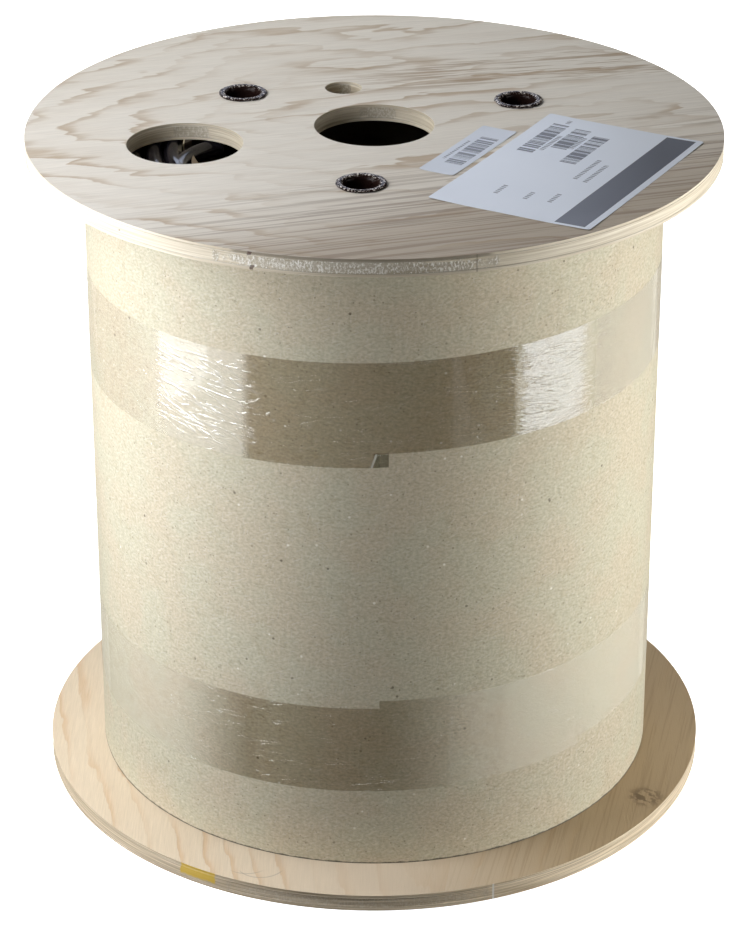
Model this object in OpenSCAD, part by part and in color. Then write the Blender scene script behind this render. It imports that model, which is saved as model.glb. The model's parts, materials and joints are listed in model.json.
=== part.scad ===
// Cable drum: two round plywood flanges clamped on a fibre barrel by three
// flared steel tubes, wound with cable, wrapped in board and taped.
// The axis is Z, the drum stands on its lower flange and the origin is at the
// middle of that flange's underside.

/* [Drum] */
// Height over both flanges
drum_h = 406.4; // [270:0.1:800]
// Diameter of each flange
flange_d = 406.4; // [370:0.1:800]
// Thickness of each plywood flange
flange_t = 10.3; // [6:0.1:25]
// Small chamfer on the flange rims
rim_chamfer = 0.5; // [0.2:0.1:1.5]

/* [Flange holes] */
// Diameter of the centre hole for the spindle
arbor_d = 70; // [40:0.5:90]
// Diameter of the drive pin hole
drive_d = 22; // [12:0.5:26]
// Distance of the drive pin hole from the axis
drive_reach = 67; // [60:0.5:75]
// Direction of the drive pin hole
drive_angle = 106; // [95:1:115]
// Diameter of the cable start hole in the upper flange
start_d = 67; // [30:0.5:70]
// Distance of the start hole's centre from the barrel's outside
start_out = 1.3; // [0:0.1:10]
// Direction of the cable start hole
start_angle = 195.6; // [190:0.1:205]

/* [Barrel] */
// Outside diameter of the fibre barrel
barrel_d = 223; // [180:0.5:270]
// Wall of the fibre barrel
barrel_wall = 4.8; // [3:0.1:8]

/* [Clamping tubes] */
// Direction of the first tube
tube_angle = 25.7; // [20:0.1:35]
// Bore of each tube
tube_bore = 19; // [12:0.1:24]
// Wall of each tube
tube_wall = 1.5; // [1:0.1:2]
// Width of the flared lip, from the bore to its rim
lip_w = 5.2; // [4:0.1:8]
// Thickness of the rolled lip
lip_t = 1.8; // [1:0.1:2.5]

/* [Cable] */
// Diameter over the cable's jacket
cable_d = 11.2; // [6:0.1:14]
// Number of layers wound on the barrel
layers = 5; // [3:1:5]
// Radius that the inner end of the cable is bent to
tail_bend = 40; // [34:1:48]
// Angle that the inner end of the cable turns through
tail_sweep = 84; // [60:1:100]
// Direction in which the inner end leaves the first layer
tail_angle = 202; // [198:1:206]

/* [Wrap] */
// Thickness of the board round the winding
board_t = 1.9; // [1:0.1:3]
// Direction of the board's overlapping edge, at the back
seam_angle = 84; // [60:1:120]
// Width of the clear tape
tape_w = 55; // [30:1:60]
// Thickness of the clear tape
tape_t = 0.2; // [0.15:0.01:0.3]
// From the upper flange down to the middle of the upper tape
tape_drop = 92; // [50:0.5:110]
// From the lower flange up to the middle of the lower tape
tape_rise = 82; // [50:0.5:110]
// Tilt of the upper tape, rising to the right
upper_tilt = 1.2; // [-2:0.1:2]
// Tilt of the lower tape, rising to the right
lower_tilt = 0.8; // [-2:0.1:2]
// How far the lapped end of the upper tape lies below its own start
upper_slip = 8.5; // [0:0.5:10]
// How far the lapped end of the lower tape lies below its own start
lower_slip = 5; // [0:0.5:10]
// Direction of the lapped end of each tape
lap_end = 271; // [240:1:300]
// Angle over which the end of the upper tape laps its own start
upper_lap = 82; // [20:1:90]
// Angle over which the end of the lower tape laps its own start
lower_lap = 44; // [20:1:90]

/* [Labels] */
// Long side of the large label
large_l = 153; // [100:1:160]
// Short side of the large label
large_w = 98; // [60:1:110]
// Long side of the small label
small_l = 80; // [50:1:90]
// Short side of the small label
small_w = 22; // [15:1:30]
// From the flange's rim to the middle of the large label
label_in = 71.9; // [65:0.1:85]
// Direction of the middle of the large label
label_angle = -33.7; // [-36:0.1:-30]
// Gap between the two labels
label_gap = 3.4; // [2:0.1:6]
// Turn of both labels on the flange
label_turn = 61; // [56:1:66]
// Thickness of the label paper
label_t = 0.15; // [0.1:0.05:0.3]

/* [Hidden] */
tube_count = 3;
TUBES = [for (i = [1 : tube_count]) str("clamp_tube_", i)];
$fn = 128;

// Clearances
tube_clear = 0.2;    // tube in its flange holes, and lip in its recess
tube_gap = 0.7;      // tube to the inside of the barrel
lip_sink = 0.2;      // lower lip below the face that it is let into
wind_clear = 0.3;    // winding to the barrel and to the board
end_clear = 0.3;     // winding to the flanges
board_clear = 0.5;   // board's upper edge to the upper flange
tail_clear = 1.5;    // notch round the cable's inner end
turn_gap = 0.4;      // between neighbouring turns on the winding's ends
skin_clear = 0.1;    // tape to the board
cut = 1;             // how far a cutting shape runs past what it cuts

flange_r = flange_d / 2;
deck_z = drum_h - flange_t;             // underside of the upper flange
barrel_r = barrel_d / 2;
barrel_in = barrel_r - barrel_wall;
tube_r = tube_bore / 2 + tube_wall;
tube_reach = barrel_in - tube_gap - tube_r;
lip_d = tube_bore + 2 * lip_w;
start_reach = barrel_r + start_out;
wind_in = barrel_r + wind_clear;
wind_out = wind_in + layers * cable_d;
board_in = wind_out + wind_clear;
board_r = board_in + board_t;
lap_r = board_r + board_t;              // over the lapped edge of the board
first_layer = wind_in + cable_d / 2;
turn_d = cable_d - turn_gap;
tail_d = turn_d - turn_gap;             // a little less than the turn it leaves
top_turn_z = deck_z - end_clear - cable_d / 2;
low_turn_z = flange_t + end_clear + cable_d / 2;
tape_r = board_r + skin_clear;
label_corner = 3;                       // radius of the labels' corners

module at_polar(reach, angle) {
    rotate([0, 0, angle]) translate([reach, 0, 0]) children();
}

module ring(r_out, r_in, z, h) {
    translate([0, 0, z])
    difference() {
        cylinder(r = r_out, h = h);
        translate([0, 0, -cut]) cylinder(r = r_in, h = h + 2 * cut);
    }
}

module through_hole(d) {
    translate([0, 0, -cut]) cylinder(d = d, h = flange_t + 2 * cut);
}

module at_tube(i) {
    at_polar(tube_reach, tube_angle + i * 360 / tube_count) children();
}

// A plywood disc with the holes that both flanges share
module flange_disc() {
    difference() {
        rotate_extrude()
        polygon([
            [0, 0],
            [flange_r - rim_chamfer, 0],
            [flange_r, rim_chamfer],
            [flange_r, flange_t - rim_chamfer],
            [flange_r - rim_chamfer, flange_t],
            [0, flange_t]
        ]);
        through_hole(arbor_d);
        at_polar(drive_reach, drive_angle) through_hole(drive_d);
        for (i = [0 : tube_count - 1]) at_tube(i) through_hole(2 * (tube_r + tube_clear));
    }
}

module upper_flange() {
    color("#d8cfc2")
    translate([0, 0, deck_z])
    difference() {
        flange_disc();
        at_polar(start_reach, start_angle) through_hole(start_d);
    }
}

module lower_flange() {
    color("#e0c9a8")
    difference() {
        flange_disc();
        for (i = [0 : tube_count - 1]) at_tube(i) lip_recess();
    }
}

// Recess that lets a lower lip lie below the face
module lip_recess() {
    translate([0, 0, -cut]) cylinder(d = lip_d + 2 * tube_clear, h = cut + lip_sink + lip_t);
}

// Half a round, from straight down to straight up, that rounds a lip's rim
function rim_arc(r, centre, steps = 10) =
    [for (k = [0 : steps]) let (a = -90 + 180 * k / steps) centre + r * [cos(a), sin(a)]];

// A flared lip that lies on z = 0 and is thickest at its rolled rim
module lip() {
    rotate_extrude()
    polygon(concat(
        [[tube_bore / 2, 0]],
        rim_arc(lip_t / 2, [(lip_d - lip_t) / 2, lip_t / 2]),
        [[tube_bore / 2 + lip_t, lip_t], [tube_bore / 2 + lip_t / 4, lip_t / 2], [tube_bore / 2, 0]]
    ));
}

module clamp_tube(i) {
    color("#2a2624")
    at_tube(i)
    union() {
        ring(tube_r, tube_bore / 2, lip_sink, drum_h - lip_sink);
        translate([0, 0, drum_h]) lip();
        translate([0, 0, lip_sink + lip_t]) mirror([0, 0, 1]) lip();
    }
}

// The cable's inner end: a bend that leaves the first layer and turns inwards
module tail(d) {
    at_polar(first_layer - tail_bend, tail_angle)
    translate([0, 0, top_turn_z])
    mirror([0, 1, 0])
    rotate_extrude(angle = tail_sweep)
    translate([tail_bend, 0]) circle(d = d);
}

module barrel() {
    color("#cdbb98")
    difference() {
        ring(barrel_r, barrel_in, flange_t, deck_z - flange_t);
        tail_notch();
    }
}

// Notch in the barrel's upper edge, along the way of the cable's inner end
module tail_notch() {
    notch_d = tail_d + 2 * tail_clear;
    tail(notch_d);
    at_polar(first_layer - tail_bend, tail_angle)
    translate([0, 0, top_turn_z])
    mirror([0, 1, 0])
    rotate_extrude(angle = tail_sweep)
    translate([tail_bend - notch_d / 2, 0]) square([notch_d, deck_z - top_turn_z + cut]);
}

module turn_ring(layer, z) {
    rotate_extrude()
    translate([first_layer + layer * cable_d, z]) circle(d = turn_d);
}

module cable_winding() {
    color("#1d1c20")
    union() {
        ring(wind_out, wind_in, low_turn_z, top_turn_z - low_turn_z);
        for (layer = [0 : layers - 1]) {
            turn_ring(layer, top_turn_z);
            turn_ring(layer, low_turn_z);
        }
        tail(tail_d);
    }
}

module wrap_board() {
    board_h = deck_z - board_clear - flange_t;
    color("#c9bf9f")
    translate([0, 0, flange_t])
    rotate([0, 0, seam_angle])
    difference() {
        board_outline(board_r, 0, board_h);
        translate([0, 0, -cut]) cylinder(r = board_in, h = board_h + 2 * cut);
    }
}

module tape_upper() {
    color("#b3a67f") tape(deck_z - tape_drop, upper_tilt, upper_slip, upper_lap);
}

module tape_lower() {
    color("#b8ab86") tape(flange_t + tape_rise, lower_tilt, lower_slip, lower_lap);
}

// One full turn of clear tape, and its end that laps over its start, a little lower
module tape(z, tilt, slip, sweep) {
    union() {
        tape_layer(z, tilt, tape_r);
        intersection() {
            tape_layer(z - slip, tilt, tape_r + tape_t);
            lap_sector(sweep);
        }
    }
}

// The directions in which a tape lies double
module lap_sector(sweep) {
    reach = 2 * flange_r;
    rotate([0, 0, lap_end - sweep])
    rotate_extrude(angle = sweep)
    square([reach, drum_h]);
}

// One tilted turn of tape whose inner face has radius r
module tape_layer(z, tilt, r) {
    intersection() {
        tape_skin(z, r);
        translate([0, 0, z])
        rotate([0, -tilt, 0])
        translate([0, 0, -tape_w / 2])
        cylinder(r = 2 * lap_r, h = tape_w);
    }
}

// A skin that follows the board and its lap, tall enough for a tilted tape
module tape_skin(z, r) {
    skin_h = 2 * tape_w;
    translate([0, 0, z - tape_w])
    rotate([0, 0, seam_angle])
    difference() {
        board_outline(r + tape_t, tape_t, skin_h);
        translate([0, 0, -cut]) board_outline(r, 0, skin_h + 2 * cut);
    }
}

// The board's outside grown to radius r: it bulges along an off-centre arc to
// the lapped edge, where the step lies back by past
module board_outline(r, past, h) {
    union() {
        cylinder(r = r, h = h);
        intersection() {
            translate([board_t, 0, 0]) cylinder(r = r, h = h);
            translate([0, -past, 0]) cube([2 * r, 2 * r, h]);
        }
    }
}

// Puts a label on the upper flange, off from the large label's middle
module on_deck(off) {
    at_polar(flange_r - label_in, label_angle)
    rotate([0, 0, label_turn - label_angle])
    translate([0, off, drum_h])
    children();
}

// A thin paper plate with round corners
module label(l, w) {
    union() {
        translate([-l / 2, label_corner - w / 2, 0]) cube([l, w - 2 * label_corner, label_t]);
        translate([label_corner - l / 2, -w / 2, 0]) cube([l - 2 * label_corner, w, label_t]);
        for (x = [-1, 1], y = [-1, 1])
            translate([x * (l / 2 - label_corner), y * (w / 2 - label_corner), 0])
            cylinder(r = label_corner, h = label_t);
    }
}

module label_large() {
    color("#d5d9e0") on_deck(0) label(large_l, large_w);
}

module label_small() {
    color("#d5d9e0") on_deck((large_w + small_w) / 2 + label_gap) label(small_l, small_w);
}

upper_flange();
lower_flange();
barrel();
for (i = [0 : tube_count - 1]) clamp_tube(i);
cable_winding();
wrap_board();
tape_upper();
tape_lower();
label_large();
label_small();
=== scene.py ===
"""Cable drum: plywood flanges on a fibre barrel, clamped by steel tubes, wound with cable,
wrapped in grey board and closed with two turns of clear tape."""

import json
import math

import bmesh
import bpy
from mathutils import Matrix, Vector, noise


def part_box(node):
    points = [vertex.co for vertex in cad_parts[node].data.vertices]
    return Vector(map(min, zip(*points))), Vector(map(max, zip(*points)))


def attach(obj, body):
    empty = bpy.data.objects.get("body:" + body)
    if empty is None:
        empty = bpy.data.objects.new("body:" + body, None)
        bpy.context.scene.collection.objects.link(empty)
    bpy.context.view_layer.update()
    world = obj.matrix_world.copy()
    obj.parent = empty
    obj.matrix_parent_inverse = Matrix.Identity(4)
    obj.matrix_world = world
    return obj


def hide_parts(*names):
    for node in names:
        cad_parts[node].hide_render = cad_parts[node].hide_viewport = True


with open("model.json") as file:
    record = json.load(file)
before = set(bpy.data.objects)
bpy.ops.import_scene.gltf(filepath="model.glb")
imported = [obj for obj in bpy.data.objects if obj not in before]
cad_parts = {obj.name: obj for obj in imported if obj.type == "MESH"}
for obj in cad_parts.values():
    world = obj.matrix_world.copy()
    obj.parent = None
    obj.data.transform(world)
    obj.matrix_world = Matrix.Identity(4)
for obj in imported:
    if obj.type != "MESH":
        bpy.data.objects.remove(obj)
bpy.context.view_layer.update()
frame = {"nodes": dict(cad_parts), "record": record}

MM = 0.001
MOUNTS = {mount["name"]: mount for mount in frame["record"]["mounts"]}

# Sizes and places, from the frame
FLANGE_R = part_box("upper_flange")[1].x
DRUM_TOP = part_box("upper_flange")[1].z
DECK_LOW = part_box("upper_flange")[0].z
FLANGE_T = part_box("lower_flange")[1].z
FLANGE_FLAT = FLANGE_R - 0.25 * MM          # the sawn rim stays inside the frame's rim
BOARD_LOW, BOARD_TOP = (corner.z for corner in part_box("wrap_board"))
BOARD_T = 1.9 * MM
BOARD_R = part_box("wrap_board")[1].x         # the lap lies at the back, so it doesn't widen the board
SEAM = max(
    (v.co for v in frame["nodes"]["wrap_board"].data.vertices), key=lambda co: co.x ** 2 + co.y ** 2
)
SEAM_ANGLE = math.atan2(SEAM.y, SEAM.x)
BARREL_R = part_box("barrel")[1].x
TUBE_BORE = MOUNTS["lashing_bore_1"]["dims"]["r_mm"] * MM
TUBE_WALL = 1.4 * MM
TUBE_ROOM = 2 * MM                          # a tube's wall and a little room, in the flanges
FULL_TURN = 2 * math.pi

# Tape, as it lies on the drum
TAPE_W = 55 * MM
TAPE_LIFT = 0.1 * MM                        # film over the board
TAPE_END = math.radians(271)                # direction in which each tape's first turn ends
UPPER_TAPE = dict(middle=DECK_LOW - 92 * MM, tilt=1.2, slip=8.5 * MM)
LOWER_TAPE = dict(middle=FLANGE_T + 82 * MM, tilt=0.8, slip=5 * MM)
UPPER_LAP = math.radians(82)
LOWER_LAP = math.radians(44)
FOLD_H = 9 * MM                             # the small folded corner of the upper tape's end
FOLD_TOP = 276.6 * MM                       # the folded corner's upper edge


# ---------------- making meshes

def nothing_selected():
    """Leaves edit mode and deselects every object."""
    if bpy.context.mode != "OBJECT":
        bpy.ops.object.mode_set(mode="OBJECT")
    bpy.ops.object.select_all(action="DESELECT")


def only(piece):
    """Selects one piece alone, and makes it the active one."""
    nothing_selected()
    piece.select_set(True)
    bpy.context.view_layer.objects.active = piece


def named(name):
    """The object that was just added, given its name, with its place put into its mesh."""
    piece = bpy.context.object
    piece.name = name
    piece.data.name = name
    bpy.ops.object.transform_apply(location=True, rotation=True, scale=True)
    return piece


def edit(piece):
    """Opens a piece in edit mode, with nothing in it selected."""
    only(piece)
    bpy.ops.object.mode_set(mode="EDIT")
    bpy.ops.mesh.select_mode(type="VERT")
    bpy.ops.mesh.select_all(action="DESELECT")


def take_all():
    """Selects everything in the open piece."""
    bpy.ops.mesh.select_all(action="SELECT")


def done():
    """Closes edit mode."""
    bpy.ops.object.mode_set(mode="OBJECT")


def pick(kind, rule):
    """Selects, in edit mode, only the vertices, edges or faces for which rule(middle, item) holds."""
    bpy.ops.mesh.select_mode(type=kind)
    bpy.ops.mesh.select_all(action="DESELECT")
    mesh = bmesh.from_edit_mesh(bpy.context.object.data)
    items = {"VERT": mesh.verts, "EDGE": mesh.edges, "FACE": mesh.faces}[kind]
    for item in items:
        if kind == "VERT":
            middle = item.co
        elif kind == "EDGE":
            middle = (item.verts[0].co + item.verts[1].co) / 2
        else:
            middle = item.calc_center_median()
        item.select_set(bool(rule(middle, item)))
    mesh.select_flush_mode()
    bmesh.update_edit_mesh(bpy.context.object.data)


def apply(piece, kind, **settings):
    """Adds a modifier and applies it."""
    only(piece)
    modifier = piece.modifiers.new(kind.lower(), kind)
    for key, value in settings.items():
        setattr(modifier, key, value)
    bpy.ops.object.modifier_apply(modifier=modifier.name)


def smooth(piece, angle):
    """Shades a piece smooth, except over edges sharper than angle, in degrees."""
    only(piece)
    bpy.ops.object.shade_smooth_by_angle(angle=math.radians(angle))


def joined(name, pieces):
    """Joins pieces into one."""
    nothing_selected()
    for piece in pieces:
        piece.select_set(True)
    bpy.context.view_layer.objects.active = pieces[0]
    bpy.ops.object.join()
    pieces[0].name = name
    pieces[0].data.name = name
    return pieces[0]


def outwards(piece):
    """Turns a closed piece's faces outwards."""
    edit(piece)
    take_all()
    bpy.ops.mesh.normals_make_consistent(inside=False)
    done()


def fit_in(piece, look, slot, *nodes):
    """Gives a finished piece its material and body, and hides the CAD nodes that it stands for. The slot
    is not used.
    """
    piece.data.materials.clear()
    piece.data.materials.append(look)
    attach(piece, "root")
    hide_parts(*nodes)


# ---------------- making looks

class Look:
    """A material whose nodes are made by short calls. A value is a number, a colour or a socket."""

    def __init__(self, name):
        self.material = bpy.data.materials.new(name)
        self.material.use_nodes = True
        self.tree = self.material.node_tree
        self.tree.nodes.clear()
        self.shader = self.tree.nodes.new("ShaderNodeBsdfPrincipled")
        output = self.tree.nodes.new("ShaderNodeOutputMaterial")
        self.tree.links.new(self.shader.outputs[0], output.inputs[0])
        coordinates = self.tree.nodes.new("ShaderNodeTexCoord")
        self.place = coordinates.outputs["Object"]
        self.normal = coordinates.outputs["Normal"]

    def feed(self, socket, value):
        if isinstance(value, bpy.types.NodeSocket):
            self.tree.links.new(value, socket)
        elif isinstance(value, (tuple, list)):
            socket.default_value = (*value, 1.0) if len(socket.default_value) == 4 else tuple(value)
        else:
            socket.default_value = value

    def node(self, kind, inputs=None, **settings):
        made = self.tree.nodes.new(kind)
        for key, value in settings.items():
            setattr(made, key, value)
        for key, value in (inputs or {}).items():
            self.feed(made.inputs[key], value)
        return made

    def math(self, operation, *values):
        return self.node("ShaderNodeMath", dict(enumerate(values)), operation=operation).outputs[0]

    def add(self, *values):
        total = values[0]
        for value in values[1:]:
            total = self.math("ADD", total, value)
        return total

    def times(self, *values):
        product = values[0]
        for value in values[1:]:
            product = self.math("MULTIPLY", product, value)
        return product

    def less(self, value, share=1.0):
        """1 less a share of a value."""
        return self.add(1, self.times(value, -share))

    def most(self, *values):
        top = values[0]
        for value in values[1:]:
            top = self.math("MAXIMUM", top, value)
        return top

    def split(self, vector):
        return self.node("ShaderNodeSeparateXYZ", {0: vector}).outputs

    def from_axis(self):
        """Distance from the drum's axis."""
        x, y, _ = self.split(self.place)
        return self.math("SQRT", self.add(self.times(x, x), self.times(y, y)))

    def from_point(self, point):
        """Distance from a point."""
        inputs = {0: self.place, 1: point}
        return self.node("ShaderNodeVectorMath", inputs, operation="DISTANCE").outputs["Value"]

    def within(self, value, low, high):
        """Rises smoothly from 0 at low to 1 at high, or falls where low is the greater."""
        ends = (low, high, 0.0, 1.0) if low < high else (high, low, 1.0, 0.0)
        inputs = {"Value": value}
        inputs.update(zip(("From Min", "From Max", "To Min", "To Max"), ends))
        node = self.node("ShaderNodeMapRange", inputs, interpolation_type="SMOOTHSTEP")
        return node.outputs[0]

    def window(self, value, low, high, soft):
        """1 between low and high, fading to 0 over soft outside them."""
        return self.times(self.within(value, low - soft, low), self.within(value, high + soft, high))

    def local(self, turn=0.0, centre=(0, 0, 0), size=(1, 1, 1), place=None):
        """Coordinates from centre, turned by turn degrees about Z, in units of size metres."""
        inputs = {
            "Vector": place or self.place,
            "Location": centre,
            "Rotation": (0, 0, math.radians(turn)),
            "Scale": size,
        }
        return self.node("ShaderNodeMapping", inputs, vector_type="TEXTURE").outputs[0]

    def noise(self, size, turn=0.0, detail=2.0, rough=0.5, warp=0.0, centre=(0, 0, 0), place=None):
        """Soft noise with features of size metres along X, Y and Z, turned about Z."""
        size = size if isinstance(size, tuple) else (size,) * 3
        inputs = {
            "Vector": self.local(turn, centre, size, place),
            "Scale": 1.0,
            "Detail": detail,
            "Roughness": rough,
            "Distortion": warp,
        }
        return self.node("ShaderNodeTexNoise", inputs).outputs[0]

    def specks(self, size, share, soft=0.15, centre=(0, 0, 0)):
        """Round specks with cells of size metres, in a share of the cells."""
        inputs = {"Vector": self.local(centre=centre, size=(size,) * 3), "Scale": 1.0, "Randomness": 1.0}
        cells = self.node("ShaderNodeTexVoronoi", inputs)
        chosen = self.within(self.split(cells.outputs["Color"])[0], share, share - 0.01)
        return self.times(chosen, self.within(cells.outputs["Distance"], 0.28 + soft, 0.28))

    def mix(self, factor, first, second):
        node = self.node("ShaderNodeMix", {0: factor, 6: first, 7: second}, data_type="RGBA")
        return node.outputs[2]

    def over(self, under, colour, *shares):
        """A colour laid over another, by the product of some shares."""
        return self.mix(self.times(*shares), under, colour)

    def shade(self, colour, factor):
        """A colour multiplied by a value."""
        node = self.node("ShaderNodeVectorMath", {0: colour}, operation="SCALE")
        self.feed(node.inputs["Scale"], factor)
        return node.outputs[0]

    def relief(self, height, depth):
        bump = self.node("ShaderNodeBump", {"Height": height, "Strength": 1.0, "Distance": depth})
        self.feed(self.shader.inputs["Normal"], bump.outputs[0])

    def surface(self, **inputs):
        for key, value in inputs.items():
            self.feed(self.shader.inputs[key.replace("_", " ").title().replace("Ior", "IOR")], value)
        return self.material


def azimuth(look):
    """Direction round the drum in degrees from its front, growing to +X."""
    x, y, _ = look.split(look.place)
    return look.math("DEGREES", look.math("ARCTAN2", x, look.math("MULTIPLY", y, -1.0)))


# ---------------- plywood

CORE_GRAIN = 87                             # direction of the core's grain, in degrees from +X
PLY_SHARES = (0.17, 0.83)                   # glue lines, as shares of the flange's thickness


def growth_ring(look, field):
    """How dark the wood is: a slow rise to late wood, then a sudden fall, once for each step."""
    growth = look.math("FRACT", field)
    late = look.times(look.within(growth, 0.66, 0.94), look.within(growth, 1.0, 0.96))
    return look.add(late, look.times(look.within(growth, 0.1, 0.75), 0.22))


def veneer(look, turn, early, late, spacing, figure, line, seed, arch):
    """Colour of a peeled face veneer: growth lines along its grain, nested arches in one part.

    arch gives the arches' foremost point, how steeply their arms spread, the step between two
    of them and where, from that point along the grain, they end and begin.
    """
    apex, spread, step, last, first = arch
    along, apart, _ = look.split(look.local(turn, apex))
    across = look.split(look.local(turn))[1]
    swirl = look.noise((0.2, 0.075, 1), turn, 1.2, 0.4, 0.35, seed)
    flame = look.noise((0.05, 0.016, 1), turn, 2, 0.5, 0.3, seed)
    waver = look.noise((0.03, 0.004, 1), turn, 3, 0.6, centre=seed)
    arms = look.math("SQRT", look.add(look.times(apart, apart), 0.00015))
    wobble = look.add(look.times(flame, figure * 0.25), look.times(waver, 0.32))
    plain = look.add(look.times(across, 1 / spacing), look.times(swirl, figure), wobble)
    nested = look.times(look.add(look.times(arms, spread), look.times(along, -1.0)), 1 / step)
    nested = look.add(nested, look.times(swirl, 1.5), wobble)
    arched = look.within(along, last, first)
    ring = look.mix(arched, growth_ring(look, plain), growth_ring(look, nested))
    patch = look.within(look.noise((0.13, 0.035, 1), turn, 2, 0.5, centre=seed), 0.38, 0.62)
    fibre = look.noise((0.022, 0.0009, 1), turn, 4, 0.7, centre=seed)
    tone = look.over(early, late, ring, look.add(look.times(patch, 0.8), 0.2), line)
    return look.shade(tone, look.add(0.78, look.times(fibre, 0.44))), fibre, ring


def ply_edge(look, low, high, cream, shadow, torn_share):
    """Colour and relief of a sawn edge: two thin face plies and a core whose end grain is torn, its torn
    tufts painted near white as pale fibre and painted highlights.
    """
    z = look.split(look.place)[2]
    level = look.node(
        "ShaderNodeMapRange", {"Value": z, "From Min": low, "From Max": high}
    ).outputs[0]
    facing = look.split(look.local(CORE_GRAIN, place=look.normal))[0]
    core = look.window(level, *PLY_SHARES, 0.03)
    end_grain = look.times(core, look.within(look.math("ABSOLUTE", facing), 0.925, 0.955))
    bands = look.noise((0.06, 0.06, 0.0007), detail=3, rough=0.6)
    tufts = look.noise((0.001, 0.001, 0.0018), detail=3, rough=0.7)
    glue = look.most(*(look.window(level, share, share, 0.035) for share in PLY_SHARES))
    tone = look.mix(look.within(bands, 0.35, 0.7), shadow, cream)
    end_grain = look.times(end_grain, torn_share)
    tone = look.over(tone, (0.36, 0.31, 0.22), end_grain, 0.5)
    # Torn tufts are painted near white: partly pale torn fibre, partly painted highlights, stronger on
    # the outer rim than in the shaded holes
    torn = look.times(end_grain, look.within(tufts, 0.47, 0.62))
    rim = look.within(look.from_axis(), 0.19, 0.2)
    bright = look.add(0.35, look.times(rim, 0.6))
    tone = look.over(tone, (0.93, 0.9, 0.82), torn, bright)
    tone = look.over(tone, (0.2, 0.165, 0.1), glue, 0.45)
    return tone, tufts, end_grain


def plywood(name, low, high, face, cream, shadow, torn_share, marks):
    """Plywood with a face veneer on its flat sides and plies on its rim and in its holes."""
    look = Look(name)
    veneer_tone, fibre, ring = veneer(look, **face)
    edge_tone, tufts, end_grain = ply_edge(look, low, high, cream, shadow, torn_share)
    upright = look.math("ABSOLUTE", look.split(look.normal)[2])
    flat = look.within(upright, 0.35, 0.75)
    veneer_tone, edge_tone = marks(look, veneer_tone, edge_tone)
    grain = look.add(look.times(fibre, 0.5), look.times(ring, -0.2))
    torn = look.times(tufts, look.add(0.15, end_grain))
    height = look.mix(flat, torn, grain)
    look.relief(height, 0.25 * MM)
    return look.surface(
        base_color=look.mix(flat, edge_tone, veneer_tone), roughness=0.62, specular_ior_level=0.3
    )


# The two face veneers, as veneer() takes them
UPPER_FACE = dict(
    turn=15, early=(0.71, 0.672, 0.615), late=(0.41, 0.305, 0.2),
    spacing=0.032, figure=6.0, line=0.62, seed=(0.31, 0.12, 0),
    arch=((-0.2, -0.02, 0), 1.6, 0.044, 0.2, 0.06),
)
LOWER_FACE = dict(
    turn=90, early=(0.63, 0.53, 0.4), late=(0.52, 0.34, 0.19),
    spacing=0.024, figure=3.0, line=0.5, seed=(0.02, 0.37, 0),
    arch=((0.03, -0.21, 0), 5.0, 0.08, 2.0, 1.0),
)

# Nicks in the upper rim: where each starts, in degrees from the front, and its share of the height
RIM_NICKS = ((-19.2, 0.88, 1.0), (-18.8, 0.0, 0.13), (-43.0, 0.4, 0.46))


def upper_marks(look, face, edge):
    """The upper flange's fine dark grain at the front right over a patch of painted shade, its streaked
    band and its rim's nicks.
    """
    x, y, z = look.split(look.place)
    ahead = look.add(look.times(x, 0.55), look.times(y, -1.0))
    lines = look.noise((0.12, 0.0021, 1), 17, 2, 0.5, 0.1)
    # Painted shade: a broad darker brown patch at the front right; the fine dark lines over it are the
    # wood's own grain
    shaded_right_front = look.within(ahead, 0.08, 0.2)
    face = look.over(face, (0.35, 0.28, 0.205), shaded_right_front, 0.7)
    dark = look.times(look.within(lines, 0.48, 0.62), look.within(ahead, 0.03, 0.15), 0.55)
    face = look.mix(dark, face, (0.23, 0.175, 0.135))
    band = look.split(look.local(11))[1]
    streaks = look.within(look.noise((0.06, 0.0035, 1), 11, 3, 0.65, 0.2), 0.45, 0.58)
    streaked = look.times(look.window(band, 0.065, 0.098, 0.02), streaks, 0.75)
    face = look.over(face, (0.34, 0.25, 0.16), streaked, look.within(x, -0.07, 0.05))
    turn = azimuth(look)
    level = look.within(z, DECK_LOW, DRUM_TOP)
    joint = look.window(turn, 15.4, 15.55, 0.1)
    edge = look.over(edge, (0.16, 0.13, 0.08), joint, 0.45)
    # A thin darker line along the top edge of the rim's front
    dark_top_line = look.times(look.window(turn, -21, 17, 1.5), look.within(level, 0.9, 0.97))
    edge = look.over(edge, (0.16, 0.13, 0.09), dark_top_line, 0.7)
    chipped = look.noise(0.0014, detail=2)
    turn = look.add(turn, look.times(chipped, 1.0), -0.5)
    level = look.add(level, look.times(chipped, 0.3), -0.15)
    for place, low, high in RIM_NICKS:
        nick = look.window(turn, place, place + 0.4, 0.15)
        nick = look.times(nick, look.window(level, low, high, 0.03))
        edge = look.over(edge, (0.07, 0.03, 0.02), nick, 0.85)
    return face, edge


KNOT = (0.164, -0.098)
PENCIL_ARCS = ((-0.074, -0.166), (-0.066, -0.17))   # their middles
PAINT = (-32.8, -26.1)                      # the paint on the lower rim, in degrees from the front


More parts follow.
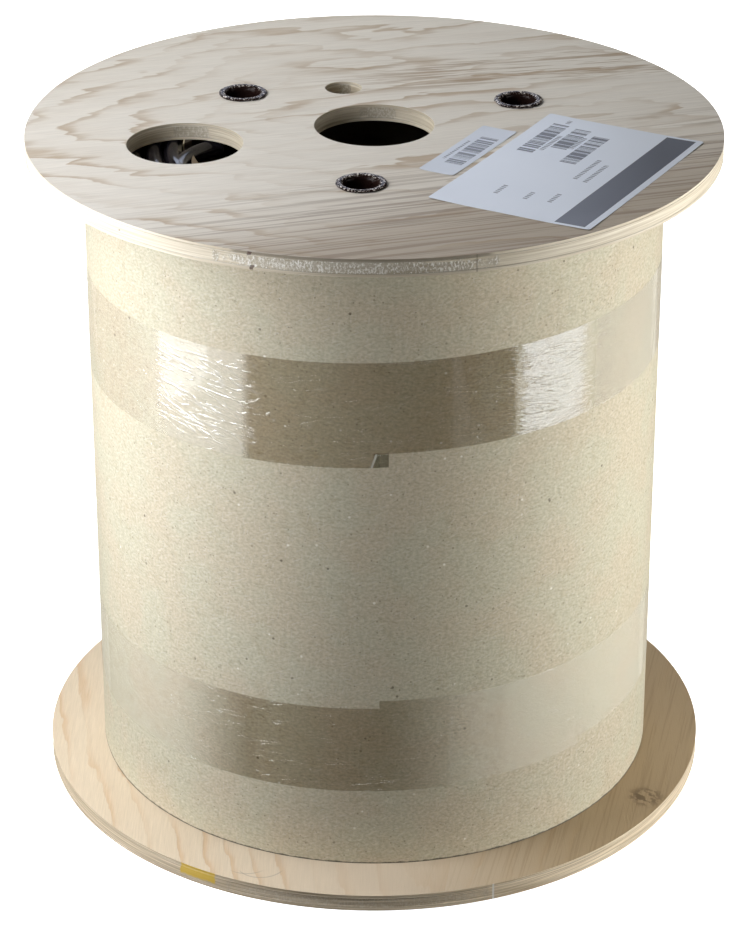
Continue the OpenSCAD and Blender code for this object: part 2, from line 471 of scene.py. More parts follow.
def lower_marks(look, face, edge):
    """The lower face's browner right side, partly painted shade, its knot and pencil arcs, and the rim's
    paint and pale scratch.
    """
    turn = azimuth(look)
    x, y, z = look.split(look.place)
    # Towards +X a flatter, then darker brown tone: partly the wood's own browner side, partly painted
    # shade where less light falls
    face = look.over(face, (0.6, 0.495, 0.37), look.within(x, -0.09, 0.0), 0.6)
    tan_and_shaded_side = look.within(x, -0.02, 0.15)
    face = look.over(face, (0.31, 0.215, 0.1), tan_and_shaded_side, 0.8)
    fine = look.within(look.noise((0.0016, 0.09, 1), -12, 2, 0.5), 0.5, 0.66)
    face = look.over(face, (0.2, 0.13, 0.06), fine, tan_and_shaded_side, 0.3)
    knot = look.noise((0.004, 0.007, 1), 30, 2, 0.6)
    near = look.from_point((*KNOT, FLANGE_T))
    knotty = look.times(look.within(near, 0.014, 0.005), look.within(knot, 0.4, 0.6))
    face = look.over(face, (0.13, 0.085, 0.045), knotty, 0.85)
    for middle in PENCIL_ARCS:
        far = look.from_point((*middle, FLANGE_T))
        arc = look.times(look.window(far, 0.0142, 0.0146, 0.0004), look.within(y, -0.176, -0.18))
        face = look.over(face, (0.3, 0.26, 0.22), arc, 0.5)
    paint = look.window(look.add(turn, look.times(look.noise(0.006), 2.0)), *PAINT, 0.25)
    height = look.add(z, look.times(look.noise(0.003), 3 * MM))
    paint = look.times(paint, look.within(height, 4 * MM, 5.5 * MM))
    edge = look.over(edge, (0.78, 0.52, 0.06), paint, 0.9)
    tick = look.window(turn, 19.7, 19.95, 0.08)
    edge = look.over(edge, (0.85, 0.84, 0.8), tick, 0.75)
    return face, edge


def hole(name, x, y, r, low, high):
    """A plug that cuts a round hole."""
    bpy.ops.mesh.primitive_cylinder_add(
        vertices=96, radius=r, depth=high - low + 4 * MM, location=(x, y, (low + high) / 2)
    )
    return named(name)


def flange(name, low, high, mounts):
    """A plywood disc with its holes, glue lines as fine grooves and a rough sawn rim."""
    nothing_selected()
    bpy.ops.mesh.primitive_cylinder_add(
        vertices=900, radius=FLANGE_FLAT, depth=high - low, location=(0, 0, (low + high) / 2)
    )
    disc = named(name)
    for mount in mounts:
        x, y, _ = MOUNTS[mount]["pos_m"]
        room = TUBE_ROOM if mount.startswith("lashing") else 0.0
        r = MOUNTS[mount]["dims"]["r_mm"] * MM + room
        plug = hole("plug", x, y, r, low, high)
        apply(disc, "BOOLEAN", object=plug, operation="DIFFERENCE", solver="EXACT")
        bpy.data.objects.remove(plug)
    edit(disc)
    pick("EDGE", lambda middle, edge: is_rim_edge(edge, low, high))
    bpy.ops.mesh.bevel(offset=0.45 * MM, segments=2, affect="EDGES", clamp_overlap=True)
    thickness = high - low
    for share in PLY_SHARES:
        for offset in (-0.3 * MM, 0.0, 0.3 * MM):
            cut_level(low + share * thickness + offset)
            if offset == 0.0:
                bpy.ops.transform.shrink_fatten(value=-0.18 * MM)
    for share in (0.3, 0.43, 0.57, 0.7):
        cut_level(low + share * thickness)
    done()
    roughen_rim(disc, low, high)
    smooth(disc, 15)
    return disc


def is_rim_edge(edge, low, high):
    """Whether an edge lies round a hole or the rim, on one of the flat faces."""
    if len(edge.link_faces) != 2:
        return False
    level = all(min(abs(v.co.z - low), abs(v.co.z - high)) < 0.01 * MM for v in edge.verts)
    corner = edge.link_faces[0].normal.dot(edge.link_faces[1].normal)
    return level and abs(corner) < 0.3


def cut_level(z):
    """Cuts every face of the open piece at height z, and leaves the cut selected."""
    take_all()
    bpy.ops.mesh.bisect(plane_co=(0, 0, z), plane_no=(0, 0, 1))


def roughen_rim(disc, low, high):
    """Presses a fine roughness into a disc's sawn rim and holes, deepest in the torn end grain."""
    grain = Vector((math.cos(math.radians(CORE_GRAIN)), math.sin(math.radians(CORE_GRAIN)), 0))
    group = disc.vertex_groups.new(name="sawn")
    for vertex in disc.data.vertices:
        level = (vertex.co.z - low) / (high - low)
        if 0.1 < level < 0.9:
            facing = abs(vertex.normal.dot(grain))
            group.add([vertex.index], 1.0 if facing > 0.93 and 0.2 < level < 0.8 else 0.25, "REPLACE")
    saw_marks = bpy.data.textures.new("saw_marks", "CLOUDS")
    saw_marks.noise_scale = 1.6 * MM
    apply(
        disc, "DISPLACE", texture=saw_marks, texture_coords="LOCAL", vertex_group="sawn",
        strength=0.7 * MM, mid_level=1.0,
    )


def make_flanges():
    shared = [name for name in MOUNTS if name not in ("start_hole", "base")]
    upper = flange("upper_ply", DECK_LOW, DRUM_TOP, shared + ["start_hole"])
    look = plywood(
        "pale_plywood", DECK_LOW, DRUM_TOP, UPPER_FACE, (0.76, 0.69, 0.55), (0.54, 0.46, 0.33), 1.0,
        upper_marks,
    )
    fit_in(upper, look, "plywood", "upper_flange")
    lower = flange("lower_ply", 0.0, FLANGE_T, shared)
    look = plywood(
        "warm_plywood", 0.0, FLANGE_T, LOWER_FACE, (0.93, 0.79, 0.58), (0.5, 0.39, 0.25), 0.25,
        lower_marks,
    )
    fit_in(lower, look, "plywood", "lower_flange")


# ---------------- board and tape

def wrap_radius(angle):
    """Outside of the board in a direction. It bulges over the lapped edge and has a step there."""
    past = (angle - SEAM_ANGLE) % FULL_TURN
    return BOARD_R + (BOARD_T * math.cos(past) if past < math.pi / 2 else 0.0)


def flat_strip(name, length_steps, width_steps):
    """A flat strip from 0 to 1 along X and from 0 to 1 along Y."""
    nothing_selected()
    bpy.ops.mesh.primitive_grid_add(
        x_subdivisions=length_steps, y_subdivisions=width_steps, size=1, location=(0.5, 0.5, 0)
    )
    return named(name)


def roll_up(strip, place):
    """Bends a flat strip round the drum: place(along, across) gives direction, radius and height."""
    for vertex in strip.data.vertices:
        angle, radius, z = place(vertex.co.x, vertex.co.y)
        vertex.co = (radius * math.cos(angle), radius * math.sin(angle), z)


def ripple(x, y, z=0.0):
    """Smooth noise from about -1 to 1."""
    return noise.noise(Vector((x, y, z)))


def board_place(along, across):
    """The board goes once round, and its end lies under its lapped edge."""
    tuck = math.radians(4)
    angle = SEAM_ANGLE + 0.0005 + along * (FULL_TURN + tuck)
    past = angle - SEAM_ANGLE
    radius = wrap_radius(angle) if past < FULL_TURN else BOARD_R
    z = BOARD_LOW + across * (BOARD_TOP - BOARD_LOW)
    waver = 0.12 * MM * (ripple(math.cos(angle) * 3, math.sin(angle) * 3, z * 9) - 1.0)
    return angle, radius + waver, z


def make_board():
    board = flat_strip("grey_wrap", 420, 40)
    roll_up(board, board_place)
    apply(board, "SOLIDIFY", thickness=BOARD_T - 0.1 * MM, offset=-1.0)
    outwards(board)
    smooth(board, 40)
    fit_in(board, grey_board(), "wrap_board", "wrap_board")


def round_sheet(look):
    """Flat coordinates on what is wrapped round the drum: along its turn, and up."""
    arc = look.times(azimuth(look), BOARD_R * math.pi / 180)
    return look.node("ShaderNodeCombineXYZ", {0: arc, 1: look.split(look.place)[2]}).outputs[0]


def grey_board():
    """Chipboard: grey-beige pulp, fine light and dark fibres, soft blotches and a few flecks, with a
    painted shadow line along its foot.
    """
    look = Look("grey_chipboard")
    flat = round_sheet(look)
    cloud = look.noise(0.035, detail=3, rough=0.55)
    grit = look.noise((0.0021, 0.0015, 1), 0, 2, 0.6, place=flat)
    blotch = look.noise(0.007, detail=3, rough=0.6)
    tone = look.mix(look.within(cloud, 0.35, 0.65), (0.515, 0.45, 0.325), (0.5, 0.465, 0.34))
    tone = look.over(tone, (0.4, 0.33, 0.21), look.within(blotch, 0.5, 0.75), 0.35)
    tone = look.shade(tone, look.add(0.87, look.times(look.within(grit, 0.3, 0.7), 0.24)))
    pale, dark = (0.74, 0.7, 0.6), (0.24, 0.2, 0.13)
    hairs = ((24, pale, 0.28), (-32, dark, 0.24), (80, pale, 0.2), (-5, dark, 0.22))
    for turn, colour, strength in hairs:
        hair = look.noise((0.0055, 0.0011, 1), turn, 1, 0.5, 0.5, (turn * MM, 0.1, 0), flat)
        tone = look.over(tone, colour, look.within(hair, 0.6, 0.72), strength)
    for size, share, colour, strength in (
        (2.6 * MM, 0.01, (0.08, 0.06, 0.04), 0.7),
        (1.6 * MM, 0.03, (0.13, 0.1, 0.07), 0.5),
        (2.3 * MM, 0.008, (0.9, 0.88, 0.8), 0.7),
    ):
        spots = look.specks(size, share, 0.1, (size * 7, size * 3, 0))
        tone = look.over(tone, colour, spots, strength)
    z = look.split(look.place)[2]
    ragged = look.add(z, look.times(look.noise(0.004, detail=2), 1.6 * MM))
    # Painted shadow: a dark, ragged line along the board's foot stands for the shade in the gap above
    # the lower flange
    foot = look.within(z, BOARD_LOW + 0.4 * MM, BOARD_LOW - 0.8 * MM)
    ragged_gap_shadow = look.within(ragged, BOARD_LOW + 2.0 * MM, BOARD_LOW + 1.2 * MM)
    tone = look.over(tone, (0.06, 0.05, 0.035), look.most(foot, ragged_gap_shadow), 0.85)
    look.relief(look.add(grit, look.times(blotch, 0.5)), 0.1 * MM)
    return look.surface(base_color=tone, roughness=0.8, specular_ior_level=0.25)


def tape_part(middle, tilt, slip, part, lift):
    """How one part of a tape runs. part gives its first and last direction and its edges."""
    first, last, low, high = part

    def place(along, across):
        run = first + along * (last - first)
        angle = TAPE_END + run
        drift = max(0.0, min(1.0, (run / FULL_TURN - 0.5) / 0.26))
        drop = slip * drift * drift * (3 - 2 * drift)
        lean = BOARD_R * math.cos(angle) * math.tan(math.radians(tilt))
        edge = middle + lean - drop - TAPE_W / 2
        return angle, wrap_radius(angle) + lift, edge + low + across * (high - low)

    return place


def make_tapes():
    """Both tapes go once round, and slip down a little on the way.

    The upper tape's start shows above its end, which has a small folded corner. The lower tape's
    start lies over its end, whose lower edge shows below it.
    """
    look = clear_film()
    upper_parts = (
        (-UPPER_LAP, 0.0, TAPE_W - UPPER_TAPE["slip"], TAPE_W),
        (0.0, FULL_TURN, 0.0, TAPE_W),
        (FULL_TURN - math.radians(1.2), FULL_TURN + math.radians(1.7), 0.2 * MM, FOLD_H),
    )
    lower_parts = (
        (0.0, FULL_TURN, 0.0, TAPE_W),
        (FULL_TURN, FULL_TURN + LOWER_LAP, 0.0, LOWER_TAPE["slip"]),
    )
    tapes = (("tape_upper", UPPER_TAPE, upper_parts), ("tape_lower", LOWER_TAPE, lower_parts))
    for node, run, parts in tapes:
        films = []
        for number, part in enumerate(parts):
            first, last, low, high = part
            steps = round(900 * (last - first) / FULL_TURN)
            film = flat_strip(f"{node}_{number}", steps, 30 if high - low == TAPE_W else 6)
            lift = TAPE_LIFT * (1.4 if high == FOLD_H else 1.0)
            roll_up(film, tape_part(part=part, lift=lift, **run))
            outwards_from_axis(film)
            films.append(film)
        film = joined(node + "_film", films)
        smooth(film, 60)
        film.visible_shadow = False             # the film is clear, and lies on what it would shade
        fit_in(film, look, "clear_tape", node)


def outwards_from_axis(film):
    """Turns an open film's faces away from the drum's axis."""
    face = film.data.polygons[0]
    if face.normal.x * face.center.x + face.normal.y * face.center.y < 0:
        film.data.flip_normals()


DARK_FILM_TINT = (0.18, 0.11, 0.02)            # the film's own brownish tint, kept at the front of each film
SHEEN_PAINTED_FILM = (0.83, 0.77, 0.62)              # a paler tone towards the sides that paints the sheen of the light there

# Stretches of the upper film, in degrees from the front
CRUMPLED = (-44, -24)
LIFTED = (22, 52)
PITTED = (27.7, 46.5)
WHOLE = (29.2, 43.4)                        # outside it, the pitted stretch is notched
LONG_CREASES = ((26.5, 33, 309 * MM), (40, 47, 296 * MM), (32, 44, 279 * MM))   # start, end, height


def film_creases(look, flat, turn, z):
    """Fine creases here and there, and three long ones that run down to the right."""
    hair = look.noise((0.035, 0.005, 1), 5, 1, 0.5, 0.5, (0.4, 0.1, 0), flat)
    crease = look.within(look.math("ABSOLUTE", look.add(hair, -0.5)), 0.014, 0.0)
    sparse = look.noise((0.03, 0.012, 1), 0, 1, centre=(0.7, 0, 0), place=flat)
    crease = look.times(crease, look.within(sparse, 0.5, 0.58))
    for start, end, height in LONG_CREASES:
        rise = look.add(z, -height, look.times(look.add(turn, -start), -0.35 * MM))
        line = look.window(rise, -0.2 * MM, 0.2 * MM, 0.4 * MM)
        crease = look.most(crease, look.times(line, look.window(turn, start, end, 1.5)))
    return crease


def film_relief(look, flat, turn, z, streak, crease, upper):
    """Gives the film its waves, creases and wrinkles. Returns the ridges of the crumpled stretch."""
    waves = look.noise((0.03, 0.0035, 1), -3, 1, 0.5, place=flat)
    wander = look.noise((0.024, 0.0042, 1), -10, 1, 0.5, 0.25, place=flat)
    ridge = look.within(look.math("ABSOLUTE", look.add(wander, -0.5)), 0.05, 0.0)
    stretch = look.times(look.window(turn, *CRUMPLED, 3), look.window(z, 0.278, 0.318, 0.012))
    crumpled = look.times(ridge, stretch)
    streaked = look.add(look.times(ridge, 0.3), look.times(streak, 1.2))
    lifted = look.times(look.window(turn, *LIFTED, 3), upper, streaked, 0.9)
    wrinkled = look.add(crumpled, lifted)
    look.relief(look.add(look.times(waves, 0.02), wrinkled, look.times(crease, 0.6)), 0.2 * MM)
    return crumpled


def folded_corner(look, turn, z):
    """The upper film's folded corner, and a painted highlight: the bright slanting line where it turns
    over.
    """
    above = look.within(z, 0.26, 0.262)
    fold = look.times(look.window(turn, 0.1, 2.9, 0.05), look.within(z, FOLD_TOP, FOLD_TOP - 0.2 * MM))
    slant = look.add(turn, look.times(z, -110), 110 * (FOLD_TOP - 0.5 * FOLD_H))
    line = look.window(slant, -0.25, 0.1, 0.08)
    line = look.times(line, look.within(z, FOLD_TOP, FOLD_TOP - 0.3 * MM))
    return look.times(fold, above), look.times(line, above)


def clear_film():
    """Thin clear tape: a brownish tint over the board, glossy, with fine waves, creases and a fold.
    Towards its sides a paler tone and thinner cover paint the sheen of the light, and pale creases,
    ridges and a fold line paint glints.
    """
    look = Look("clear_film")
    turn = azimuth(look)
    z = look.split(look.place)[2]
    flat = round_sheet(look)
    upper = look.within(z, 0.18, 0.22)        # 1 on the upper film, and 0 on the lower one
    lower = look.within(z, 0.22, 0.18)
    streak = look.noise((0.008, 0.0013, 1), -8, 2, 0.5, place=flat)
    grit = look.noise((0.0023, 0.0017, 1), 20, 3, 0.7, place=flat)
    crease = film_creases(look, flat, turn, z)
    crumpled = film_relief(look, flat, turn, z, streak, crease, upper)
    fold, fold_glint = folded_corner(look, turn, z)

    # Tint: the film's own dark brownish tint at the front of each film, and in part at the upper film's
    # sides; elsewhere a paler tone paints the sheen of the light, by direction round the drum
    dark_tint_upper = look.times(look.within(turn, -26, -23.5), look.within(turn, 46.5, 43.5), upper)
    dark_tint_lower = look.times(look.within(turn, -45, -22), look.within(turn, 23, 0), lower)
    left = look.times(look.within(turn, -42, -58), 0.6)
    right = look.times(look.within(turn, 40, 44), 0.32)
    sides = look.times(look.add(left, right), upper)
    dark_tint_share = look.most(look.add(dark_tint_upper, dark_tint_lower), sides)
    # Painted sheen: the pale tone lies wherever the dark tint share is low
    tone = look.mix(dark_tint_share, SHEEN_PAINTED_FILM, DARK_FILM_TINT)
    mottled = look.times(look.add(look.within(grit, 0.25, 0.75), -0.5), look.add(0.2, dark_tint_share))
    tone = look.shade(tone, look.add(1.0, mottled))
    # Painted glints: crease lines and the ridges of the crumpled stretch are coloured pale
    tone = look.over(tone, (0.62, 0.58, 0.47), crease, 0.45)
    tone = look.over(tone, (0.85, 0.82, 0.78), crumpled, 0.45)
    tone = look.mix(fold, tone, (0.2, 0.18, 0.11))
    # Painted highlight along the fold
    tone = look.over(tone, (0.8, 0.8, 0.72), fold_glint, 0.8)

    # How much of the board it hides: less at its far left, and on the lower film outside its dark
    # stretch, where the thinner cover paints the light falling there; less also in the notches of the
    # pitted stretch
    ragged_turn = look.add(turn, look.times(look.add(streak, -0.5), 9.0))
    outside_painted_light = look.most(look.within(turn, -38, -37.5), look.within(ragged_turn, -47.5, -43.5), lower)
    cover = look.add(0.34, look.times(streak, 0.22))
    cover = look.times(cover, look.add(0.45, look.times(outside_painted_light, 0.55)))
    faint = look.times(lower, look.less(dark_tint_lower))
    cover = look.times(cover, look.less(faint, 0.4))
    cover = look.add(cover, look.times(look.most(fold, fold_glint), 0.35))
    pitted = look.times(look.window(turn, *PITTED, 0.8), upper)
    notched = look.times(pitted, look.less(look.window(ragged_turn, *WHOLE, 0.15)))
    cover = look.times(cover, look.less(notched, 0.6))
    cover = look.add(cover, look.times(pitted, look.add(look.within(grit, 0.3, 0.7), -0.5), 0.13))
    rough = look.add(0.06, look.times(pitted, 0.03))
    return look.surface(base_color=tone, roughness=rough, alpha=cover, specular_ior_level=0.5, ior=2.6)


# ---------------- labels

BLACK_INK = (0.035, 0.036, 0.045)
BAND_INK = (0.055, 0.058, 0.07)

# Places on the large label, in mm from its middle, along it and across it
CODES = ((38, 35, 50, 3.3), (44, 20, 34, 17.3), (32, 5.5, 46, 41.3))    # middle, length and seed
LINES = (                                                               # start and length
    (20, 27.5, 26), (30, 13.5, 20), (-12, -9, 34), (-14, -16, 30), (-52, 20, 14), (-52, 2, 11),
    (-50, -12, 14), (66, 33, 5),
)


class LabelFrame:
    """Where a label lies: its middle, its turn and its two lengths, from the frame."""

    def __init__(self, node, turn):
        low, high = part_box(node)
        self.middle = (low + high) / 2
        self.base = low.z
        self.turn = turn
        self.along = Vector((math.cos(turn), math.sin(turn), 0))
        self.across = Vector((-math.sin(turn), math.cos(turn), 0))
        points = [v.co - self.middle for v in frame["nodes"][node].data.vertices]
        self.length = 2 * max(p.dot(self.along) for p in points)
        self.width = 2 * max(p.dot(self.across) for p in points)


def label_turn():
    """Direction of the labels' long sides. The small one lies straight beside the large one."""
    low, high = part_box("label_large")
    low_small, high_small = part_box("label_small")
    gap = (low_small + high_small - low - high) / 2
    return math.atan2(gap.y, gap.x) - math.pi / 2


def make_label(name, spot, lift, look, node):
    """A thin sheet of paper with round corners, whose corners lift a little."""
    nothing_selected()
    bpy.ops.mesh.primitive_plane_add(size=1, location=(0, 0, 0))
    sheet = named(name)
    edit(sheet)
    take_all()
    bpy.ops.transform.resize(value=(spot.length, spot.width, 1))
    bpy.ops.mesh.bevel(offset=1.8 * MM, segments=6, affect="VERTICES")
    for axis, length in ((0, spot.length), (1, spot.width)):
        steps = round(length / (4 * MM))
        for step in range(1, steps):
            at = [0, 0, 0]
            normal = [0, 0, 0]
            at[axis] = (step / steps - 0.5) * length
            normal[axis] = 1
            take_all()
            bpy.ops.mesh.bisect(plane_co=at, plane_no=normal)
    done()
    for vertex in sheet.data.vertices:
        s, t = vertex.co.x, vertex.co.y
        corner = abs(2 * s / spot.length) * abs(2 * t / spot.width)
        rise = lift * max(0.0, corner - 0.55) / 0.45
        bubble = 0.12 * MM * max(0.0, ripple(s * 30, t * 30, lift * 1000))
        place = spot.middle + s * spot.along + t * spot.across
        vertex.co = (place.x, place.y, spot.base + 0.15 * MM + rise + bubble)
    apply(sheet, "SOLIDIFY", thickness=0.13 * MM, offset=-1.0)
    outwards(sheet)
    smooth(sheet, 40)
    fit_in(sheet, look, "label_paper", node)


def bars(look, s, t, middle_s, middle_t, length, height, seed):
    """A plain code of upright bars, `length` long across the bars and `height` tall."""
    box = look.times(
        look.window(s, middle_s - length / 2, middle_s + length / 2, 0.05 * MM),
        look.window(t, middle_t - height / 2, middle_t + height / 2, 0.05 * MM),
    )
    cell = look.node(
        "ShaderNodeTexWhiteNoise",
        {"W": look.math("FLOOR", look.add(look.times(s, 1 / (0.55 * MM)), seed))},
        noise_dimensions="1D",
    ).outputs[0]
    return look.times(box, look.within(cell, 0.24, 0.28))


def dashes(look, s, t, start_s, middle_t, length, height, seed):
    """A line of short plain dashes, where such a label has its print."""
    box = look.times(
        look.window(s, start_s, start_s + length, 0.1 * MM),
        look.window(t, middle_t - height / 2, middle_t + height / 2, 0.1 * MM),
    )
    beat = look.math("FRACT", look.add(look.times(s, 1 / (2.4 * MM)), seed))
    return look.times(box, look.within(beat, 0.3, 0.42))


def paper(name, spot, draw, whiteness):
    """Satin white label paper with plain generic marks."""
    look = Look(name)
    s, t, _ = look.split(look.local(math.degrees(spot.turn), tuple(spot.middle)))
    tone = look.mix(look.noise(0.04, detail=3), (0.62, 0.665, 0.75), (0.665, 0.71, 0.795))
    tone = look.shade(tone, whiteness)
    for ink, colour in draw(look, s, t, spot):
        tone = look.mix(ink, tone, colour)
    look.relief(look.noise(0.002, detail=3, rough=0.6), 0.02 * MM)
    upright = look.within(look.split(look.normal)[2], 0.3, 0.5)
    tone = look.mix(upright, (0.72, 0.74, 0.77), tone)
    return look.surface(base_color=tone, roughness=0.33, specular_ior_level=0.5)


def large_print(look, s, t, spot):
    """A dark band by the outer edge, three codes by the inner far end and a few lines of dashes."""
    low_t = -spot.width / 2
    band = look.times(
        look.window(t, low_t + 4 * MM, low_t + 22 * MM, 0.1 * MM),
        look.window(s, 2.5 * MM - spot.length / 2, spot.length / 2 - 2.5 * MM, 0.1 * MM),
    )
    marks = [(look.times(band, 0.97), BAND_INK)]
    for middle_s, middle_t, length, seed in CODES:
        code = bars(look, s, t, middle_s * MM, middle_t * MM, length * MM, 10 * MM, seed)
        marks.append((look.times(code, 0.92), BLACK_INK))
    for start_s, middle_t, length in LINES:
        seed = start_s * MM * 77
        line = dashes(look, s, t, start_s * MM, middle_t * MM, length * MM, 2.6 * MM, seed)
        marks.append((look.times(line, 0.75), BLACK_INK))
    return marks


def small_print(look, s, t, spot):
    """One code with a line of dashes beside it."""
    code = bars(look, s, t, 0.0, -2 * MM, 47 * MM, 11 * MM, 5.3)
    line = dashes(look, s, t, -18 * MM, 6.6 * MM, 32 * MM, 1.6 * MM, 0.3)
    return [(look.times(code, 0.85), BLACK_INK), (look.times(line, 0.8), BLACK_INK)]


def make_labels():
    turn = label_turn()
    large = LabelFrame("label_large", turn)
    small = LabelFrame("label_small", turn)
    white = paper("big_label_paper", large, large_print, 1.0)
    greyish = paper("slim_label_paper", small, small_print, 0.8)
    make_label("label_big", large, 0.5 * MM, white, "label_large")
    make_label("label_slim", small, 0.3 * MM, greyish, "label_small")


# ---------------- clamping tubes

# A flared end, in mm: how far it flares, and how far inside the tube's end that is
LIP_PROFILE = ((0, 4), (0.15, 2.4), (0.5, 1.3), (1.4, 0.62), (2.7, 0.25), (4, 0.3), (4.9, 0.75))
LIP_SPLITS = ((35, 1.5), (118, 2.4), (201, 2.0), (262, 3.2), (318, 1.2))    # direction, start in mm


def make_tube(number):
    """A steel tube whose ends are flared over the flanges and have split into petals."""
    x, y, _ = MOUNTS[f"lashing_bore_{number}"]["pos_m"]
    node = f"clamp_tube_{number}"
    foot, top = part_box(node)[0].z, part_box(node)[1].z
    halves = []
    for end, inside in ((top, -1), (foot, 1)):
        halves.append(flared_half(f"{node}_half", x, y, end, inside, number))
    tube = joined(f"{node}_steel", halves)
    edit(tube)
    take_all()
    bpy.ops.mesh.remove_doubles(threshold=0.02 * MM)
    bpy.ops.mesh.select_all(action="DESELECT")
    bpy.ops.mesh.select_non_manifold(
        use_wire=False, use_boundary=False, use_non_contiguous=False, use_verts=False
    )
    bpy.ops.mesh.delete(type="ONLY_FACE")   # the rings where the halves met
    done()
    outwards(tube)
    smooth(tube, 45)
    return tube


def flared_half(name, x, y, end, inside, seed):
    """Half of a tube, from the drum's middle to its flared end."""
    nothing_selected()
    z = DRUM_TOP / 2
    bpy.ops.mesh.primitive_circle_add(vertices=96, radius=TUBE_BORE, location=(x, y, z))
    half = named(name)
    edit(half)
    take_all()
    radius = TUBE_BORE
    for flare, drop in LIP_PROFILE:
        target = end + inside * drop * MM
        bpy.ops.mesh.extrude_region_move(TRANSFORM_OT_translate={"value": (0, 0, target - z)})
        scale = (TUBE_BORE + flare * MM) / radius
        bpy.ops.transform.resize(value=(scale, scale, 1), center_override=(x, y, target))
        radius = TUBE_BORE + flare * MM
        z = target
    done()
    tear_lip(half, x, y, inside, seed)
    apply(half, "SOLIDIFY", thickness=TUBE_WALL, offset=-1.0 if inside < 0 else 1.0)
    return half


def tear_lip(half, x, y, inside, seed):
    """Makes a flared lip uneven, with a few splits that run in from its edge."""
    for vertex in half.data.vertices:
        dx, dy = vertex.co.x - x, vertex.co.y - y
        reach = math.hypot(dx, dy) - TUBE_BORE
        if reach > 1.0 * MM:
            angle = math.atan2(dy, dx)
            ragged = ripple(math.cos(angle) * 2.2, math.sin(angle) * 2.2, seed * 5.0)
            fine = ripple(math.cos(angle) * 9, math.sin(angle) * 9, seed * 9.0)
            share = reach / (5 * MM)
            radius = TUBE_BORE + reach * (1 + 0.1 * ragged + 0.07 * fine * share)
            vertex.co.x = x + radius * math.cos(angle)
            vertex.co.y = y + radius * math.sin(angle)
            lift = 0.25 * MM * share * max(0.0, fine + 0.3)
            vertex.co.z += inside * max(-0.05 * MM, lift) * 0.8
    edit(half)

    def torn(middle, face):
        dx, dy = middle.x - x, middle.y - y
        reach = math.hypot(dx, dy) - TUBE_BORE
        angle = math.degrees(math.atan2(dy, dx)) % 360
        for place, start in LIP_SPLITS:
            place = (place + 47 * seed) % 360
            if abs(angle - place) < 2.0 and reach > start * MM:
                return True
        return False

    pick("FACE", torn)
    bpy.ops.mesh.delete(type="FACE")
    done()


def black_steel():
    """Black oxide steel, glossy, bright and scratched where the flared rim has stretched and split; that
    bright bare steel is partly a painted glint.
    """
    look = Look("black_steel")
    z = look.split(look.place)[2]
    speck = look.noise(0.0012, detail=3, rough=0.7)
    rim = look.within(z, DRUM_TOP + 0.4 * MM, DRUM_TOP + 1.3 * MM)
    # Bare steel at the split rim gets a bright non-metal colour: partly worn steel, partly painted
    # glints
    worn_and_glinting = look.times(rim, look.within(speck, 0.54, 0.61))
    tone = look.mix(worn_and_glinting, (0.022, 0.011, 0.009), (0.8, 0.74, 0.68))
    look.relief(speck, 0.25 * MM)
    return look.surface(base_color=tone, metallic=0.15, roughness=0.2, specular_ior_level=0.35)


def make_tubes():
    look = black_steel()
    for number in (1, 2, 3):
        fit_in(make_tube(number), look, "tube_steel", f"clamp_tube_{number}")


# ---------------- carried-over pieces

def cable_jacket():
    """Smooth glossy black jacket with fine rub marks."""
    look = Look("cable_jacket")
    smear = look.noise((0.004, 0.02, 0.004), detail=3, rough=0.6)
    tone = look.mix(look.within(smear, 0.4, 0.7), (0.008, 0.007, 0.009), (0.02, 0.018, 0.024))
    look.relief(look.noise(0.0015, detail=2), 0.03 * MM)
    return look.surface(base_color=tone, roughness=look.add(0.1, look.times(smear, 0.1)))


def fibre_tube():
    """Wound brown fibreboard with faint spiral seams; inside, it is painted dark as the shade in the
    bore.
    """
    look = Look("fibre_tube")
    x, y, z = look.split(look.place)
    turn = look.math("ARCTAN2", y, x)
    spiral = look.math("FRACT", look.add(look.times(z, 1 / 0.08), look.times(turn, 0.159)))
    seam = look.window(spiral, 0.49, 0.51, 0.01)
    pulp = look.noise((0.004, 0.004, 0.001), detail=4, rough=0.6)
    tone = look.mix(pulp, (0.5, 0.42, 0.28), (0.68, 0.6, 0.43))
    # Painted shade: the inside of the barrel is coloured near black
    painted_bore_shade = look.within(look.from_axis(), BARREL_R - 0.5 * MM, BARREL_R - 1.0 * MM)
    tone = look.mix(painted_bore_shade, tone, (0.075, 0.06, 0.045))
    tone = look.over(tone, (0.25, 0.19, 0.12), seam, 0.5)
    look.relief(look.add(pulp, look.times(seam, -0.6)), 0.2 * MM)
    return look.surface(base_color=tone, roughness=0.85, specular_ior_level=0.2)


def finish_cad_nodes():
    for node, look in (("cable_winding", cable_jacket()), ("barrel", fibre_tube())):
        piece = frame["nodes"][node]
        piece.data.materials.clear()
        piece.data.materials.append(look)


# ---------------- stage

def area_light(name, power, size, place, aim, colour=(1, 1, 1), diffuse=True, glossy=True):
    """A soft rectangular light at place that shines at aim."""
    light = bpy.data.lights.new(name, "AREA")
    light.shape = "RECTANGLE"
    light.size, light.size_y = size
    light.energy = power
    light.color = colour
    lamp = bpy.data.objects.new(name, light)
    bpy.context.scene.collection.objects.link(lamp)
    lamp.location = place
    lamp.rotation_euler = (Vector(aim) - Vector(place)).to_track_quat("-Z", "Y").to_euler()
    lamp.visible_camera = False
    lamp.visible_diffuse = diffuse
    lamp.visible_glossy = glossy
    return lamp


def power_for(brightness, size):
    """The power that gives a light of a size its brightness."""
    return brightness * math.pi * size[0] * size[1]


